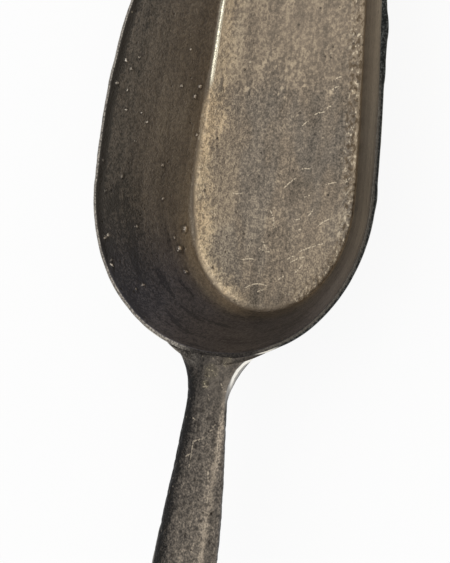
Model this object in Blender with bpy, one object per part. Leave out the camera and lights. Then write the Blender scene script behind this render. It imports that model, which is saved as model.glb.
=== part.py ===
"""Flat-bottomed hand scoop: a pressed bowl, a cast handle and the brazed fillet that joins them.

Metres, +Z up, +Y out of the mouth. The origin is the middle of the floor's flat underside.
"""
import math

import bmesh
import bpy
from mathutils import Vector

# Bowl: one sheet, pressed and trimmed
WALL = 0.0015                       # sheet thickness
FLOOR_WIDTH = 0.055                 # inside floor at its widest, to the sharp corner under the fillet
FLOOR_LENGTH = 0.132                # inside floor, from its round back to the middle of the lip
BACK_ROUND = 0.0345                 # depth of the floor's half-round back
SIDE_TAPER = 0.067                  # how much each side draws in per length toward the lip
EASE = 0.018                        # length over which the taper and the rim's fall set in
SIDE_LEAN = math.radians(27.0)      # side walls, from upright
BACK_LEAN = math.radians(19.6)      # back wall, from upright
CORNER_RADIUS = 0.0016              # inside, between floor and wall
RIM_HEIGHT = 0.032                  # inside, above the floor, level round the back
RIM_FALL = 0.125                    # drop of the rim per length toward the mouth
RIM_FALL_START = 0.0197             # where the fall starts, in front of the back's centre
MOUTH_ANGLE = math.radians(52.0)    # slope of the trimmed front edge
MOUTH_ROUND = 0.009                 # how softly the rim turns down into the front edge
MOUTH_FOOT = 0.0011                 # where the front edge's straight line meets the lip's corner
LIP_BOW = 0.004                     # how far the lip's middle stands forward of its corners
EDGE_ROUND = 0.0004                 # worn edge of rim and lip

# Handle: one casting
HANDLE_LENGTH = 0.107               # along its top, from the rim to its end
SWEEP_RADIUS = 0.41                 # upward sweep of the handle's top, level at the rim
HANDLE_DROP = 0.0002                # step from the rim's outer edge down to the handle's top
NECK_SETBACK = 0.0125               # narrowest place, behind the rim
NECK_WIDTH = 0.0123
NECK_THICKNESS = 0.0066
GRIP_REACH = 0.062                  # from the neck to the widest place
GRIP_WIDTH = 0.0208
GRIP_THICKNESS = 0.0082
END_ROUND = 0.0115                  # length of the rounded end
SWELL_POWER = 1.25                  # how the width sets in behind the neck: 1 is at once
SECTION_POWER = 2.5                 # squareness of the oval section: 2 is an ellipse
SADDLE_WIDTH = 0.040                # flared foot on the back of the bowl, tip to tip
SADDLE_FLANGE = 0.0045              # fall of the foot's top edge from the handle to its tips
FLANGE_POWER = 1.5                  # fullness of that edge: 1 is straight, 2 is an ellipse
SADDLE_DEPTH = 0.0105               # rounded tongue of the foot below its tips
TONGUE_POWER = 1.6                  # fullness of the tongue, as for the flange
SADDLE_EDGE = 0.0019                # thickness of the foot's edge under the tongue
SADDLE_TIP_EDGE = 0.0002            # the same at the tips
SADDLE_BRACE = 0.8                  # fullness of the flare under the neck: 0 is hollow, 1 is straight

# Brazed fillet, and the fit between seated pieces
FILLET_LEG = 0.8                    # share of the foot's edge that the filler climbs
FILLET_SECTION = ((0, 0), (1, 0), (0.5, 0.2), (0.2, 0.5), (0, 1))    # hollow face, in legs: over, up
GAP = 0.0003                        # clearance between seated pieces
FLARE_GAP = 0.00015                 # least clearance over the wall where the flare leaves its seat

# Facets
BACK_STEPS = 18                     # quarter of the round back
SIDE_STEPS = 24
MOUTH_CROWDING = 1.4                # stations on the side stand closer toward the mouth: 1 is even
LIP_STEPS = 12
CORNER_ROWS = 4
WALL_ROWS = 3
EDGE_SEGMENTS = 2
RING_POINTS = 48                    # round the handle
SEAT_RINGS = 6
SEAT_CENTRE = 0.25                  # middle of the seat's rings, as a share of the tongue's depth
FLARE_RINGS = 7
GRIP_RINGS = 12
END_RINGS = 7
END_FACE = 0.5                      # share of a ring that the closing face stops short of the very end
SOLVE_STEPS = 40                    # halvings when a point on the wall is looked for
SMALL_TURN = 0.01                   # step to either side when an outline's direction is taken
SHARP_ANGLE = math.radians(45)      # edges that stay sharp in smooth shading

# Places that follow from the sizes
HALF_FLOOR = FLOOR_WIDTH / 2
BACK_CENTRE_Y = BACK_ROUND - FLOOR_LENGTH / 2
SIDE_LENGTH = FLOOR_LENGTH - BACK_ROUND - LIP_BOW
RIM_TOP = WALL + RIM_HEIGHT
SADDLE_TOP = RIM_TOP - WALL * math.sin(BACK_LEAN) - HANDLE_DROP
SEAT = WALL + GAP                   # the handle's foot stands this far off the wall's inside

# Finishes: name, colour, roughness
AGED_ALUMINIUM = ("aged_aluminium", (0.27, 0.215, 0.165, 1.0), 0.38)
CAST_ALUMINIUM = ("cast_aluminium", (0.25, 0.21, 0.17, 1.0), 0.45)
FILLER = ("brazing_filler", (0.30, 0.22, 0.13, 1.0), 0.5)


class Station:
    """A place along the floor's outline, with its outward direction and the wall's lean there."""

    def __init__(self, x, ahead, normal):
        self.x = x
        self.ahead = ahead
        self.normal = normal.normalized()
        self.lean = SIDE_LEAN + (BACK_LEAN - SIDE_LEAN) * min(self.normal.y, 0.0) ** 2
        self.turn = math.pi / 2 - self.lean
        self.corner_rise = CORNER_RADIUS * (1 - math.cos(self.turn))

    def mirrored(self):
        return Station(-self.x, self.ahead, Vector((-self.normal.x, self.normal.y)))

    def climb_to(self, rise):
        """Way along the section from the floor to a height above the floor."""
        if rise < self.corner_rise:
            return CORNER_RADIUS * math.acos(1 - rise / CORNER_RADIUS)
        return CORNER_RADIUS * self.turn + (rise - self.corner_rise) / math.cos(self.lean)

    def point(self, climb, outward=0.0):
        """Point of the section: up the corner's arc, then up the wall, pushed out of the bowl."""
        angle = min(climb / CORNER_RADIUS, self.turn)
        straight = climb - angle * CORNER_RADIUS
        reach = CORNER_RADIUS * (math.sin(angle) - math.tan(self.turn / 2)) + straight * math.sin(self.lean)
        rise = CORNER_RADIUS * (1 - math.cos(angle)) + straight * math.cos(self.lean)
        reach += outward * math.sin(angle)
        rise -= outward * math.cos(angle)
        x = self.x + reach * self.normal.x
        y = BACK_CENTRE_Y + self.ahead + reach * self.normal.y
        return Vector((x, y, WALL + rise))


def ramp(distance):
    """Zero at the start, then a slope of one that sets in softly."""
    return math.hypot(distance, EASE) - EASE


def back_station(angle):
    """Station on the elliptical back, from its middle (0) to where the side begins."""
    across, along = math.sin(angle), -math.cos(angle)
    return Station(HALF_FLOOR * across, BACK_ROUND * along, Vector((across / HALF_FLOOR, along / BACK_ROUND)))


def side_station(ahead):
    """Station on the tapered side, in front of the back's centre."""
    normal = Vector((1.0, SIDE_TAPER * ahead / math.hypot(ahead, EASE)))
    return Station(HALF_FLOOR - SIDE_TAPER * ramp(ahead), ahead, normal)


def bowl_stations():
    """Stations from the lip's left corner round the back to its right corner."""
    right = [back_station(math.pi / 2 * step / BACK_STEPS) for step in range(BACK_STEPS)]
    for step in range(SIDE_STEPS + 1):
        short_of_lip = (1 - step / SIDE_STEPS) ** MOUTH_CROWDING
        right.append(side_station(SIDE_LENGTH * (1 - short_of_lip)))
    return [station.mirrored() for station in reversed(right[1:])] + right


def rim_rise(ahead):
    """Height of the rim over the floor: level, falling slowly, then trimmed down to the lip."""
    level = RIM_HEIGHT - RIM_FALL * ramp(max(ahead - RIM_FALL_START, 0.0))
    front = MOUTH_FOOT + (SIDE_LENGTH - ahead) * math.tan(MOUTH_ANGLE)
    return (level + front - math.hypot(level - front, MOUTH_ROUND)) / 2


def wall_at(x, z, outward):
    """Point of the back wall, pushed out of the bowl, at a place across and a height."""
    low, high = 0.0, math.pi / 2
    for _ in range(SOLVE_STEPS):
        angle = (low + high) / 2
        station = back_station(angle)
        rise = z - WALL + outward * math.sin(station.lean)
        place = station.point(station.climb_to(rise), outward)
        if place.x < abs(x):
            low = angle
        else:
            high = angle
    return Vector((x, place.y, z))


def metal(name, colour, roughness):
    material = bpy.data.materials.new(name)
    material.use_nodes = True
    shader = material.node_tree.nodes["Principled BSDF"]
    shader.inputs["Base Color"].default_value = colour
    shader.inputs["Metallic"].default_value = 1.0
    shader.inputs["Roughness"].default_value = roughness
    return material


def extrude_row(bm, row, places, closed):
    """Extrude a chain of vertices and put each new vertex at its place; returns the new chain."""
    ends = row[1:] + row[:1] if closed else row[1:]
    edges = [bm.edges.get(pair) for pair in zip(row, ends)]
    made = set(bmesh.ops.extrude_edge_only(bm, edges=edges)["geom"])
    above = []
    for vert, place in zip(row, places):
        copy = next(edge.other_vert(vert) for edge in vert.link_edges if edge.other_vert(vert) in made)
        copy.co = place
        above.append(copy)
    return above


def loft_rings(rings):
    """Closed body through rings of equal length, with a face on each end."""
    bm = bmesh.new()
    row = [bm.verts.new(place) for place in rings[0]]
    bm.faces.new(row)
    for places in rings[1:]:
        row = extrude_row(bm, row, places, closed=True)
    bm.faces.new(row)
    bmesh.ops.recalc_face_normals(bm, faces=bm.faces)
    return bm


def add_object(name, bm, material, parent):
    mesh = bpy.data.meshes.new(name)
    bm.to_mesh(mesh)
    bm.free()
    mesh.materials.append(material)
    mesh.shade_smooth()
    mesh.set_sharp_from_angle(angle=SHARP_ANGLE)
    piece = bpy.data.objects.new(name, mesh)
    piece.parent = parent
    bpy.context.collection.objects.link(piece)
    return piece


def lip_places(left, right):
    """Points of the bowed lip between the floor's two front corners, right to left."""
    places = []
    for step in range(1, LIP_STEPS):
        place = right.lerp(left, step / LIP_STEPS)
        place.y += LIP_BOW * (1 - (place.x / right.x) ** 2)
        places.append(place)
    return places


def make_bowl(parent):
    """Floor, then its outline extruded up the corner and the wall to the rim, then thickened."""
    stations = bowl_stations()
    climbs = [station.climb_to(rim_rise(station.ahead)) for station in stations]
    bm = bmesh.new()
    row = [bm.verts.new(station.point(0.0)) for station in stations]
    lip = [bm.verts.new(place) for place in lip_places(row[0].co, row[-1].co)]
    bm.faces.new(row + lip)
    rows = CORNER_ROWS + WALL_ROWS
    for step in range(1, rows + 1):
        places = []
        for station, climb in zip(stations, climbs):
            corner = CORNER_RADIUS * station.turn
            corner_end = min(corner, climb * CORNER_ROWS / rows)
            if step <= CORNER_ROWS:
                way = corner_end * step / CORNER_ROWS
            else:
                way = corner_end + (climb - corner_end) * (step - CORNER_ROWS) / WALL_ROWS
            places.append(station.point(way))
        row = extrude_row(bm, row, places, closed=False)
    bowl = add_object("bowl", bm, metal(*AGED_ALUMINIUM), parent)
    shell = bowl.modifiers.new("sheet", "SOLIDIFY")
    shell.thickness = WALL
    shell.offset = -1.0
    shell.use_even_offset = True
    edge = bowl.modifiers.new("worn_edge", "BEVEL")
    edge.width = EDGE_ROUND
    edge.segments = EDGE_SEGMENTS
    edge.limit_method = "ANGLE"
    edge.angle_limit = SHARP_ANGLE


def oval(share, power=SECTION_POWER):
    """Height of a round outline, as a share of its greatest, at a share of its half-width."""
    return (1 - abs(share) ** power) ** (1 / power)


def ring_angles():
    return [2 * math.pi * point / RING_POINTS for point in range(RING_POINTS)]


def grip_ring(way, shrink_width=1.0, shrink_height=1.0):
    """Oval ring across the handle, a given way behind the rim along its swept top."""
    share = min(max((way - NECK_SETBACK) / GRIP_REACH, 0.0), 1.0)
    swell = math.sin(math.pi / 2 * share) ** SWELL_POWER
    half = (NECK_WIDTH + (GRIP_WIDTH - NECK_WIDTH) * swell) / 2
    thick = (NECK_THICKNESS + (GRIP_THICKNESS - NECK_THICKNESS) * swell) / 2
    tilt = way / SWEEP_RADIUS
    rim_back = wall_at(0.0, SADDLE_TOP, WALL)
    top = rim_back + SWEEP_RADIUS * Vector((0.0, -math.sin(tilt), 1 - math.cos(tilt)))
    up = Vector((0.0, math.sin(tilt), math.cos(tilt)))
    ring = []
    for angle in ring_angles():
        across = math.cos(angle)
        height = math.copysign(oval(across), math.sin(angle)) * shrink_height - 1
        ring.append(top + Vector((half * across * shrink_width, 0, 0)) + up * thick * height)
    return ring


def foot_outline(angle):
    """Across and height of the foot's outline on the wall: a falling flange with a tongue under it."""
    across = math.cos(angle)
    if math.sin(angle) >= 0:
        height = SADDLE_FLANGE * oval(across, FLANGE_POWER)
    else:
        height = -SADDLE_DEPTH * oval(across, TONGUE_POWER)
    return Vector((SADDLE_WIDTH / 2 * across, SADDLE_TOP - SADDLE_FLANGE + height))


def foot_edge(angle):
    """Thickness of the foot's edge, thin at the tips of the flange."""
    return SADDLE_TIP_EDGE + (SADDLE_EDGE - SADDLE_TIP_EDGE) * math.sin(angle) ** 2


def saddle_rings():
    """Rings over the seat on the wall, over the foot's edge and along the flare to the neck."""
    centre = Vector((0.0, SADDLE_TOP - SADDLE_FLANGE - SADDLE_DEPTH * SEAT_CENTRE))
    rings = []
    for step in range(1, SEAT_RINGS + 1):
        spread = [centre.lerp(foot_outline(angle), step / SEAT_RINGS) for angle in ring_angles()]
        rings.append([wall_at(place.x, place.y, SEAT) for place in spread])
    neck = grip_ring(NECK_SETBACK)
    for step in range(FLARE_RINGS):
        share = step / FLARE_RINGS
        ring = []
        for angle, end in zip(ring_angles(), neck):
            foot = foot_outline(angle)
            start = wall_at(foot.x, foot.y, SEAT + foot_edge(angle))
            bend = wall_at(end.x, end.z, SEAT + foot_edge(angle))
            bend = bend.lerp((start + end) / 2, SADDLE_BRACE * max(-math.sin(angle), 0.0))
            place = start.lerp(bend, share).lerp(bend.lerp(end, share), share)
            place.y = min(place.y, wall_at(place.x, place.z, WALL + FLARE_GAP).y)
            ring.append(place)
        rings.append(ring)
    return rings


def make_handle(parent):
    """Saddle, neck, swelling grip and rounded end, lofted in one body."""
    rings = saddle_rings()
    straight = HANDLE_LENGTH - END_ROUND
    for step in range(GRIP_RINGS + 1):
        rings.append(grip_ring(NECK_SETBACK + (straight - NECK_SETBACK) * step / GRIP_RINGS))
    for step in range(1, END_RINGS + 1):
        angle = math.pi / 2 * step / (END_RINGS + END_FACE)
        way = straight + END_ROUND * math.sin(angle)
        rings.append(grip_ring(way, math.cos(angle), math.sqrt(math.cos(angle))))
    add_object("handle", loft_rings(rings), metal(*CAST_ALUMINIUM), parent)


def make_braze_fillet(parent):
    """Hollow-faced bead along the foot's lower edge, from one tip of the flange to the other."""
    rings = []
    for angle in ring_angles()[RING_POINTS // 2 + 1:]:
        before = foot_outline(angle - SMALL_TURN)
        after = foot_outline(angle + SMALL_TURN)
        along = (after - before).normalized()
        away = Vector((along.y, -along.x))
        leg = FILLET_LEG * foot_edge(angle)
        ring = []
        for over, up in FILLET_SECTION:
            place = foot_outline(angle) + away * (GAP + leg * over)
            ring.append(wall_at(place.x, place.y, SEAT + leg * up))
        rings.append(ring)
    add_object("braze_fillet", loft_rings(rings), metal(*FILLER), parent)


def main():
    for old in list(bpy.data.objects):
        bpy.data.objects.remove(old)
    scoop = bpy.data.objects.new("scoop", None)
    bpy.context.collection.objects.link(scoop)
    make_bowl(scoop)
    make_handle(scoop)
    make_braze_fillet(scoop)


main()
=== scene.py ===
import math
import random
from types import SimpleNamespace

import bmesh
import bpy
from mathutils import Matrix, Vector, noise
from mathutils.bvhtree import BVHTree
from mathutils.kdtree import KDTree


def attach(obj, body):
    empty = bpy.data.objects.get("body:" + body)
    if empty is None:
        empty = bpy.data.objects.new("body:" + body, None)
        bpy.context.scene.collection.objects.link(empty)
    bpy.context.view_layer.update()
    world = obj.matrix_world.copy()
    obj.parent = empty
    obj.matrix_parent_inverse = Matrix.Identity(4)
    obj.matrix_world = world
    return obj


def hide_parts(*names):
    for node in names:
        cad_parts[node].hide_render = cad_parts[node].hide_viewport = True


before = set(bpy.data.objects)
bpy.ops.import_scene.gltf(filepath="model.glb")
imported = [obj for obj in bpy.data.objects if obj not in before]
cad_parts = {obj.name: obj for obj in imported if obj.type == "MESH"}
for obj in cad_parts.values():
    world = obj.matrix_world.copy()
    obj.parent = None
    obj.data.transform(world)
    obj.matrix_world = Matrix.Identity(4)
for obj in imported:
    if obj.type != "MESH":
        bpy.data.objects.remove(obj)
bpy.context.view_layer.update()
mergeGap = 1e-6  # points closer than this are one
perMetre = 1000  # millimetres
print("frame loaded:", ", ".join(sorted(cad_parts)))

# View: the photograph's frame is 450 x 563 pixels

shot = {
    "width": 450,
    "height": 563,
    "focal": 1000.0,  # pixels
    "stand": Vector((0.13108, -0.04449, 0.28539)),  # where the camera is
    "lookAt": Vector((-0.01096, -0.05816, 0.005)),  # seen in the middle of the frame
    "upright": Vector((-0.1122, 0.9937, 0.0084)),  # this way is up in the frame
    "sensor": 36.0,
    "clipStart": 0.01,
}


def cameraAxes():
    back = (shot["stand"] - shot["lookAt"]).normalized()
    right = shot["upright"].cross(back).normalized()
    return right, back.cross(right), back


def pixelRay(px, py):
    right, up, back = cameraAxes()
    across = (px - shot["width"] / 2) / shot["focal"]
    down = (py - shot["height"] / 2) / shot["focal"]
    return (right * across - up * down - back).normalized()


def seenSpot(surface, px, py):
    return surface.ray_cast(shot["stand"], pixelRay(px, py))[0]


def addObject(name, data):
    thing = bpy.data.objects.new(name, data)
    bpy.context.scene.collection.objects.link(thing)
    return thing


def addMesh(name, bm):
    mesh = bpy.data.meshes.new(name)
    bm.to_mesh(mesh)
    bm.free()
    return addObject(name, mesh)


def setCamera():
    data = bpy.data.cameras.new("photoView")
    data.sensor_width = shot["sensor"]
    data.lens = shot["sensor"] * shot["focal"] / max(shot["width"], shot["height"])
    data.clip_start = shot["clipStart"]
    camera = addObject("photoView", data)
    right, up, back = cameraAxes()
    camera.matrix_world = Matrix.Translation(shot["stand"]) @ Matrix((right, up, back)).transposed().to_4x4()
    bpy.context.scene.camera = camera


setCamera()
print("camera set")

# Node helpers

work = {"tree": None}  # node tree that they add to


def link(value, socket):
    work["tree"].links.new(value, socket)


def put(kind, inputs=None, **settings):
    node = work["tree"].nodes.new("ShaderNode" + kind)
    for name, value in settings.items():
        setattr(node, name, value)
    for socket, value in (inputs or {}).items():
        if isinstance(value, bpy.types.NodeSocket):
            link(value, node.inputs[socket])
        else:
            node.inputs[socket].default_value = value
    return node


def calc(operation, *values):
    return put("Math", dict(enumerate(values)), operation=operation).outputs[0]


def vectorCalc(operation, *values):
    node = put("VectorMath", dict(enumerate(values)), operation=operation)
    return node.outputs["Value" if operation in ("LENGTH", "DOT_PRODUCT", "DISTANCE") else "Vector"]


def fade(value, start, stop, low=0.0, high=1.0):
    # low before start, high past stop, soft in between
    sockets = {"Value": value, "From Min": start, "From Max": stop, "To Min": low, "To Max": high}
    return put("MapRange", sockets, interpolation_type="SMOOTHSTEP").outputs["Result"]


def both(*masks):
    # masks multiplied together, where a tuple stands for the fade of what it holds
    total, *others = (fade(*mask) if isinstance(mask, tuple) else mask for mask in masks)
    for other in others:
        total = calc("MULTIPLY", total, other)
    return total


def most(first, *others):
    # greatest of the values
    total = first
    for other in others:
        total = calc("MAXIMUM", total, other)
    return total


def band(value, start, full, last, end):
    # rises from start to full, falls from last to end
    return both((value, start, full), (value, end, last))


def moved(vector, stretch, shift=0.0):
    sockets = {"Vector": vector, "Scale": stretch, "Location": (shift, shift, shift)}
    return put("Mapping", sockets).outputs[0]


def grain(vector, size, detail=2.0, stretch=(1, 1, 1), shift=0.0):
    # noise whose blotches are about size metres across
    place = moved(vector, stretch, shift)
    sockets = {"Vector": place, "Scale": 1 / size, "Detail": detail, "Roughness": 0.6}
    return put("TexNoise", sockets).outputs["Fac"]


def spots(vector, size, share, radius, shift=0.0, stretch=(1, 1, 1), ragged=0.0, drift=1.6, core=0.45):
    # marks in a share of the cells of a scatter; ragged pulls them out of round, in drift waves to a cell
    # core: least share of the radius, full share of a mark
    place = moved(vector, stretch, shift)
    if ragged:
        pull = put("TexNoise", {"Vector": vector, "Scale": drift / size, "Detail": 1.0}).outputs["Color"]
        pull = vectorCalc("SUBTRACT", pull, (0.5, 0.5, 0.5))
        place = vectorCalc("MULTIPLY_ADD", pull, (ragged * size,) * 3, place)
    cells = put("TexVoronoi", {"Vector": place, "Scale": 1 / size})
    pick = put("SeparateColor", {"Color": cells.outputs["Color"]})
    chosen = calc("LESS_THAN", pick.outputs["Red"], share)
    reach = fade(pick.outputs["Green"], 0, 1, radius * core, radius)
    near = calc("DIVIDE", cells.outputs["Distance"], reach)
    return both(chosen, (near, 1.0, core))


def worms(vector, size, width, shift=0.0):
    # thin wandering lines, where the noise is near its middle
    off = calc("SUBTRACT", grain(vector, size, 1.0, shift=shift), 0.5)
    return fade(calc("ABSOLUTE", off), width, 0.0)


def addUp(base, *terms):
    # base plus every term's value times its gain
    total = base
    for value, gain in terms:
        total = calc("MULTIPLY_ADD", value, gain, total)
    return total


def tint(factor, under, over):
    node = put("Mix", {0: factor, 6: under, 7: over}, data_type="RGBA")
    return node.outputs[2]


def toned(factor, colour, gain):
    # the colour's channels times gain, where the factor says so
    return tint(factor, colour, vectorCalc("MULTIPLY", colour, gain))


def ramp(value, *stops):
    node = put("ValToRGB", {"Fac": value})
    elements = node.color_ramp.elements
    while len(elements) < len(stops):
        elements.new(0.5)
    for element, (position, colour) in zip(elements, stops):
        element.position = position
        element.color = (*colour, 1.0)
    return node.outputs["Color"]


def attribute(name):
    return put("Attribute", attribute_name=name).outputs["Fac"]


def newMetal(name):
    material = bpy.data.materials.new(name)
    material.use_nodes = True
    work["tree"] = material.node_tree
    shader = material.node_tree.nodes["Principled BSDF"]
    shader.inputs["Metallic"].default_value = 1.0
    return material, shader, put("TexCoord").outputs["Object"]


def finishMetal(shader, colour, roughness, height, depth):
    bump = put("Bump", {"Height": height, "Distance": depth, "Strength": 1.0})
    link(colour, shader.inputs["Base Color"])
    link(roughness, shader.inputs["Roughness"])
    link(bump.outputs["Normal"], shader.inputs["Normal"])


# Studio

studio = {
    "floorReach": 6.0,
    "floorColour": (0.95, 0.95, 0.945, 1.0),
    "floorRoughness": 0.9,
    "floorWhite": 0.9,  # share of plain white in what the camera sees of the floor
    "skyLevel": 1.0,
    "shadeLevel": 0.8,  # how much darker the room is behind the camera
    "shadeAngles": (30.0, 10.0),  # degrees off the camera's direction: none, full
    "leftShade": 0.55,  # how much darker the room is low on the left
    "leftSpan": (-0.1, -0.8),  # of the direction's x: none, full
    "lowSpan": (0.75, 0.1),  # of the direction's z
    "lampSpot": Vector((-0.1, 0.3, 0.95)),
    "lampSize": (0.22, 0.3),
    "lampPower": 0.25,
}


def buildWorld():
    world = bpy.data.worlds.new("softRoom")
    bpy.context.scene.world = world
    world.use_nodes = True
    work["tree"] = world.node_tree
    way = put("TexCoord").outputs["Generated"]
    parts = put("SeparateXYZ", {"Vector": way})
    facing = vectorCalc("DOT_PRODUCT", way, cameraAxes()[2])
    nothing, full = (math.cos(math.radians(angle)) for angle in studio["shadeAngles"])
    behindCamera = fade(facing, nothing, full)
    lowLeft = both((parts.outputs["X"], *studio["leftSpan"]), (parts.outputs["Z"], *studio["lowSpan"]))
    level = addUp(studio["skyLevel"], (behindCamera, -studio["shadeLevel"]),
                  (lowLeft, -studio["leftShade"]))
    link(level, world.node_tree.nodes["Background"].inputs["Color"])


def buildLamp():
    data = bpy.data.lights.new("softLamp", "AREA")
    data.shape = "RECTANGLE"
    data.size, data.size_y = studio["lampSize"]
    data.energy = studio["lampPower"]
    lamp = addObject("softLamp", data)
    lamp.location = studio["lampSpot"]
    lamp.rotation_euler = studio["lampSpot"].to_track_quat("Z", "Y").to_euler()


def buildFloor():
    bm = bmesh.new()
    bmesh.ops.create_grid(bm, x_segments=1, y_segments=1, size=studio["floorReach"])
    floor = addMesh("studioFloor", bm)
    paper = bpy.data.materials.new("palePaper")
    paper.use_nodes = True
    work["tree"] = paper.node_tree
    nodes = paper.node_tree.nodes
    sheet = nodes["Principled BSDF"]
    sheet.inputs["Base Color"].default_value = studio["floorColour"]
    sheet.inputs["Roughness"].default_value = studio["floorRoughness"]
    path = put("LightPath")
    seen = most(*(path.outputs["Is %s Ray" % kind] for kind in ("Camera", "Glossy", "Transmission")))
    white = put("Emission", {"Color": (1.0, 1.0, 1.0, 1.0), "Strength": 1.0})
    share = both(seen, studio["floorWhite"])
    mixed = put("MixShader", {0: share, 1: sheet.outputs[0], 2: white.outputs[0]})
    link(mixed.outputs[0], nodes["Material Output"].inputs["Surface"])
    floor.data.materials.append(paper)


bpy.context.scene.view_settings.view_transform = "Standard"
buildWorld()
buildLamp()
buildFloor()
print("studio set")

# Pan: a grid bent over the floor, up the wall, round the rim and back underneath

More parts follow.
